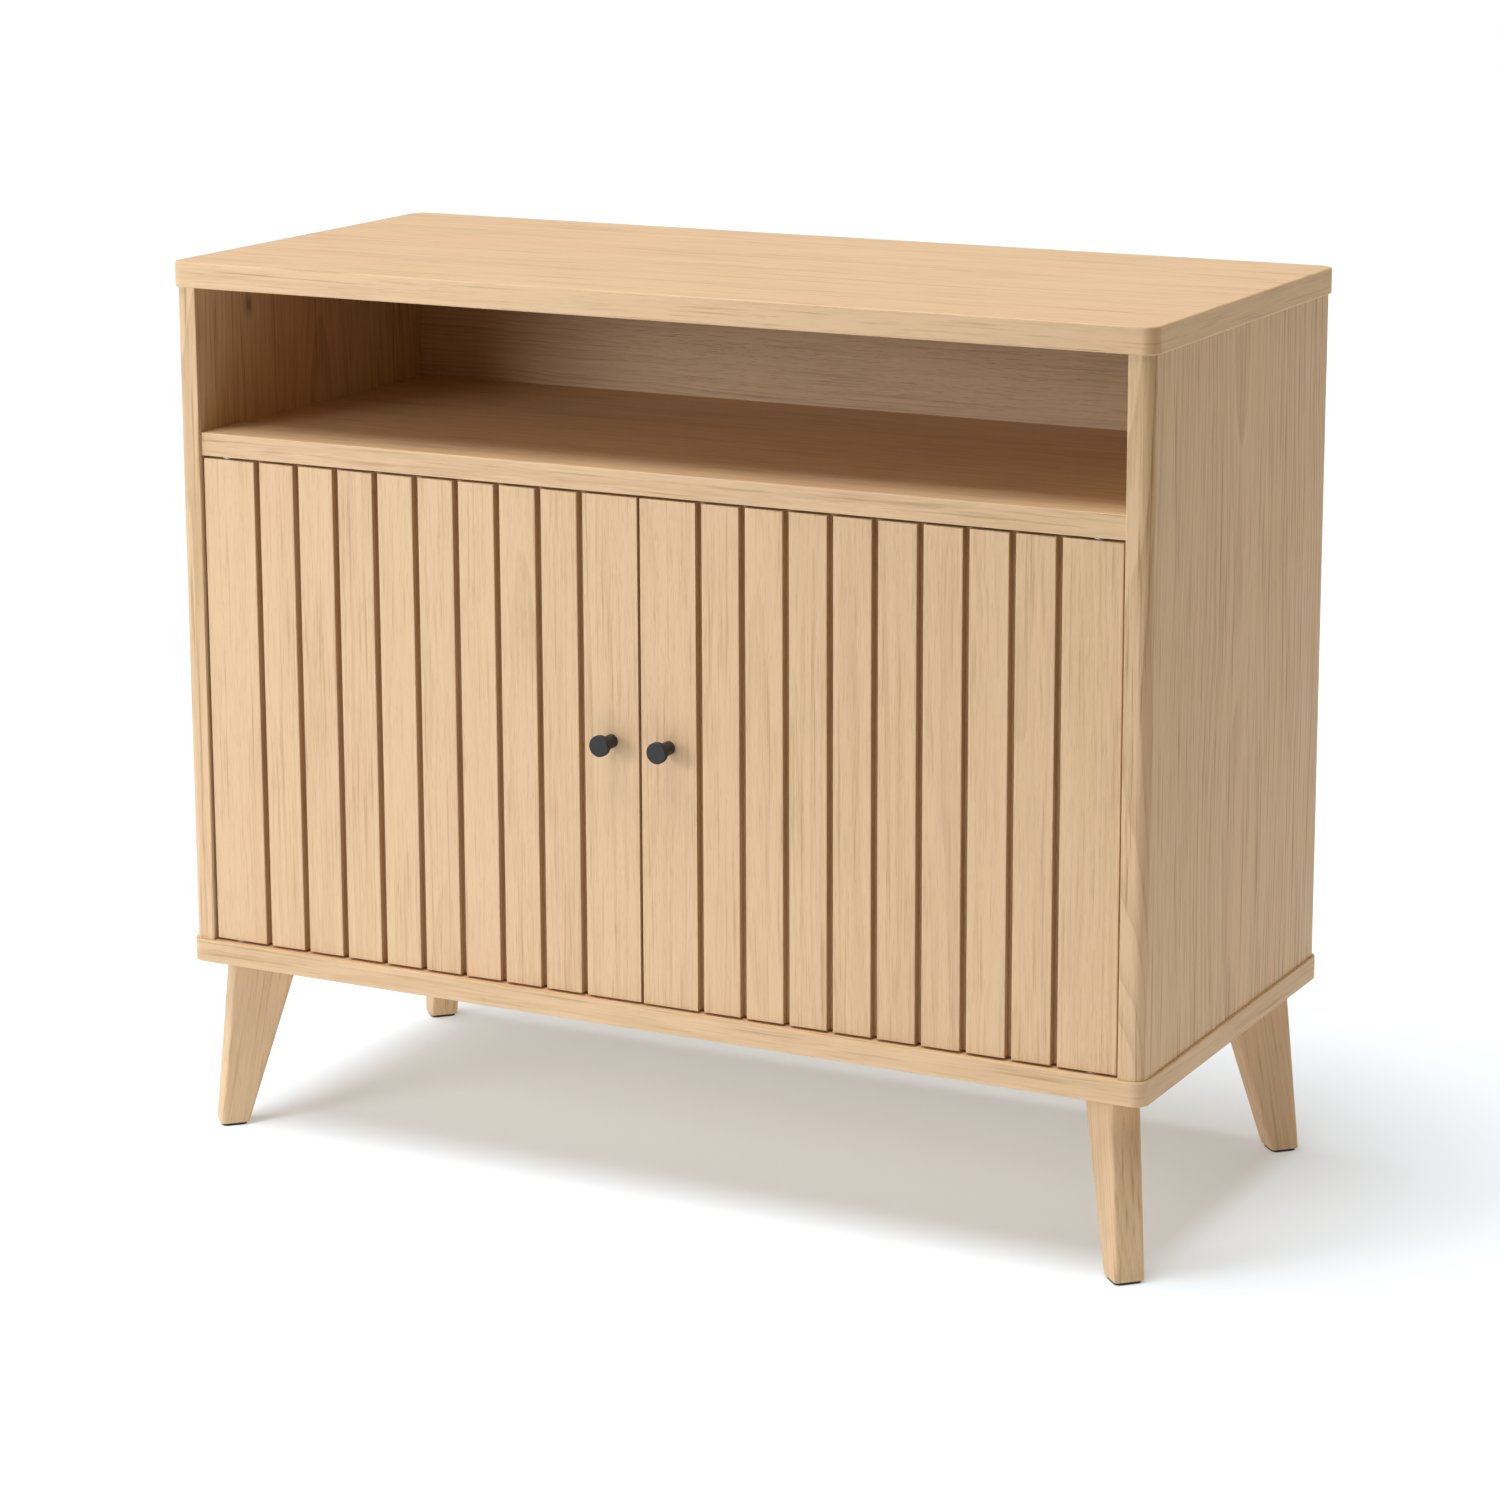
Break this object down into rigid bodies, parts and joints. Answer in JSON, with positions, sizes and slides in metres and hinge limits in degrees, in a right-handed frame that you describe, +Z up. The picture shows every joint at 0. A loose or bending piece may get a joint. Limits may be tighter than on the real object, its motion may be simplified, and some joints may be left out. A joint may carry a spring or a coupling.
{
  "type": "media cabinet",
  "caption": "Oak media cabinet on splayed tapered legs, with an open niche under the top and a compartment closed by slatted doors with round black knobs.",
  "frame": {"origin": "on the floor, below the centre of the cabinet's bounding box with its doors closed", "axes": "+X to the cabinet's left-to-right width as seen from the front, +Y from the front to the back, +Z up"},
  "size_m": [0.9, 0.417, 0.77],
  "materials": {
    "oak_panel": "satin clear lacquer, grain along the width",
    "oak_side": "satin clear lacquer, grain upright",
    "oak_slat": "satin clear lacquer, grain upright, each slat a little different in tone",
    "oak_board": "satin clear lacquer, grain upright",
    "oak_back": "matt clear lacquer, fine wavy grain along the width",
    "oak_leg": "satin clear lacquer, grain upright",
    "black_knob": "matt black powder coat",
    "black_plastic": "matt moulded",
    "steel": "zinc plated",
    "nylon": "natural moulded"
  },
  "bodies": {
    "cabinet": {"top_panel": "oak_panel", "base_panel": "oak_panel", "niche_shelf": "oak_panel", "inner_shelf": "oak_panel", "side_panel_left": "oak_side", "side_panel_right": "oak_side", "back_panel": "oak_back", "leg_front_left": "oak_leg", "leg_front_right": "oak_leg", "leg_rear_left": "oak_leg", "leg_rear_right": "oak_leg", "glide_front_left": "black_plastic", "glide_front_right": "black_plastic", "glide_rear_left": "black_plastic", "glide_rear_right": "black_plastic", "leg_bolt_front_left": "steel", "leg_bolt_front_right": "steel", "leg_bolt_rear_left": "steel", "leg_bolt_rear_right": "steel", "shelf_peg_front_left": "steel", "shelf_peg_front_right": "steel", "shelf_peg_rear_left": "steel", "shelf_peg_rear_right": "steel", "magnet_catch": "black_plastic", "left_pivot_pin_top": "steel", "left_pivot_pin_bottom": "steel", "right_pivot_pin_top": "steel", "right_pivot_pin_bottom": "steel"},
    "left_door": {"left_door_hinge_stile": "oak_slat", "left_door_meeting_stile": "oak_slat", "left_door_board": "oak_board", "left_door_slat_1": "oak_slat", "left_door_slat_2": "oak_slat", "left_door_slat_3": "oak_slat", "left_door_slat_4": "oak_slat", "left_door_slat_5": "oak_slat", "left_door_slat_6": "oak_slat", "left_door_slat_7": "oak_slat", "left_door_slat_8": "oak_slat", "left_pivot_bush_top": "nylon", "left_pivot_bush_bottom": "nylon", "left_knob": "black_knob", "left_knob_screw": "steel", "left_strike_plate": "steel"},
    "right_door": {"right_door_hinge_stile": "oak_slat", "right_door_meeting_stile": "oak_slat", "right_door_board": "oak_board", "right_door_slat_1": "oak_slat", "right_door_slat_2": "oak_slat", "right_door_slat_3": "oak_slat", "right_door_slat_4": "oak_slat", "right_door_slat_5": "oak_slat", "right_door_slat_6": "oak_slat", "right_door_slat_7": "oak_slat", "right_door_slat_8": "oak_slat", "right_pivot_bush_top": "nylon", "right_pivot_bush_bottom": "nylon", "right_knob": "black_knob", "right_knob_screw": "steel", "right_strike_plate": "steel"}
  },
  "joints": [
    {"name": "left_door_hinge", "type": "hinge", "parent": "cabinet", "child": "left_door", "pos_m": [-0.4025, -0.178, 0.38825], "axis": [0, 0, -1], "range_deg": [0, 110]},
    {"name": "right_door_hinge", "type": "hinge", "parent": "cabinet", "child": "right_door", "pos_m": [0.4025, -0.178, 0.38825], "axis": [0, 0, 1], "range_deg": [0, 110]}
  ]
}
